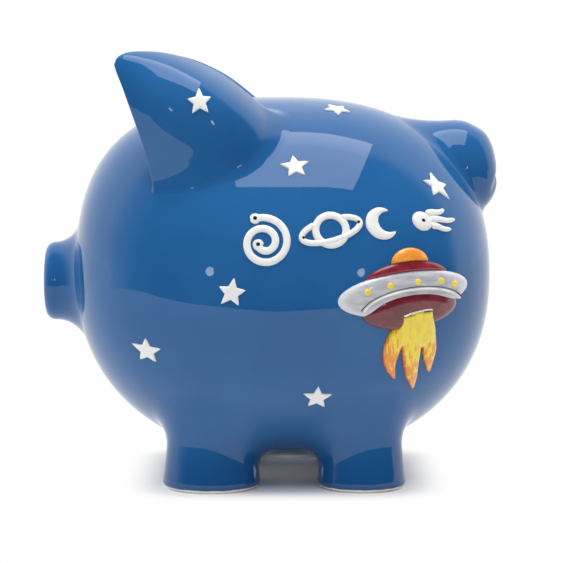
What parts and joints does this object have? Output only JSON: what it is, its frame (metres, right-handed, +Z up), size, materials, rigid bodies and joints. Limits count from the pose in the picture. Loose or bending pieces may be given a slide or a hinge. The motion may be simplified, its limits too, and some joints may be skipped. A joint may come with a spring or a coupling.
{
  "type": "piggy bank",
  "caption": "hollow glazed ceramic piggy bank with cupped ears, curled tail, raised painted space decoration on one flank, coin slot on top and a pull-out belly stopper",
  "frame": {"origin": "middle of the overall footprint, on the surface that the feet stand on", "axes": "+Z up; the pig faces -X, its tail is towards +X, and the decorated left flank faces -Y"},
  "size_m": [0.2048, 0.1632, 0.1909],
  "materials": {
    "blue_glaze": "glossy transparent glaze over mid-blue underglaze",
    "white_line": "raised white slip under gloss glaze",
    "dome_orange": "glossy orange enamel, brushed",
    "hull_crimson": "glossy crimson enamel",
    "rim_grey": "glossy silver-grey enamel",
    "lip_white": "glossy off-white enamel",
    "light_yellow": "glossy yellow enamel dots",
    "underside_maroon": "glossy dark red enamel",
    "flame_yellow": "glossy yellow enamel shaded to orange",
    "dot_black": "glossy black enamel dots",
    "stopper_plastic": "soft milky polyethylene, satin"
  },
  "bodies": {
    "bank": {"body_shell": "blue_glaze", "snout": "blue_glaze", "ear_left": "blue_glaze", "ear_right": "blue_glaze", "tail": "blue_glaze", "foot_front_left": "blue_glaze", "foot_front_right": "blue_glaze", "foot_rear_left": "blue_glaze", "foot_rear_right": "blue_glaze", "saucer_dome": "dome_orange", "saucer_hull": "hull_crimson", "saucer_rim": "rim_grey", "saucer_lip": "lip_white", "saucer_lights": "light_yellow", "saucer_underside": "underside_maroon", "saucer_flame": "flame_yellow", "flank_stars": "white_line", "ear_star": "white_line", "back_star": "white_line", "galaxy_doodle": "white_line", "planet_doodle": "white_line", "moon_doodle": "white_line", "comet_doodle": "white_line", "doodle_dots": "dot_black"},
    "stopper": {"stopper": "stopper_plastic"}
  },
  "joints": [
    {"name": "stopper_pull", "type": "slide", "parent": "bank", "child": "stopper", "axis": [0, 0, -1], "range_m": [0, 0.02]}
  ]
}
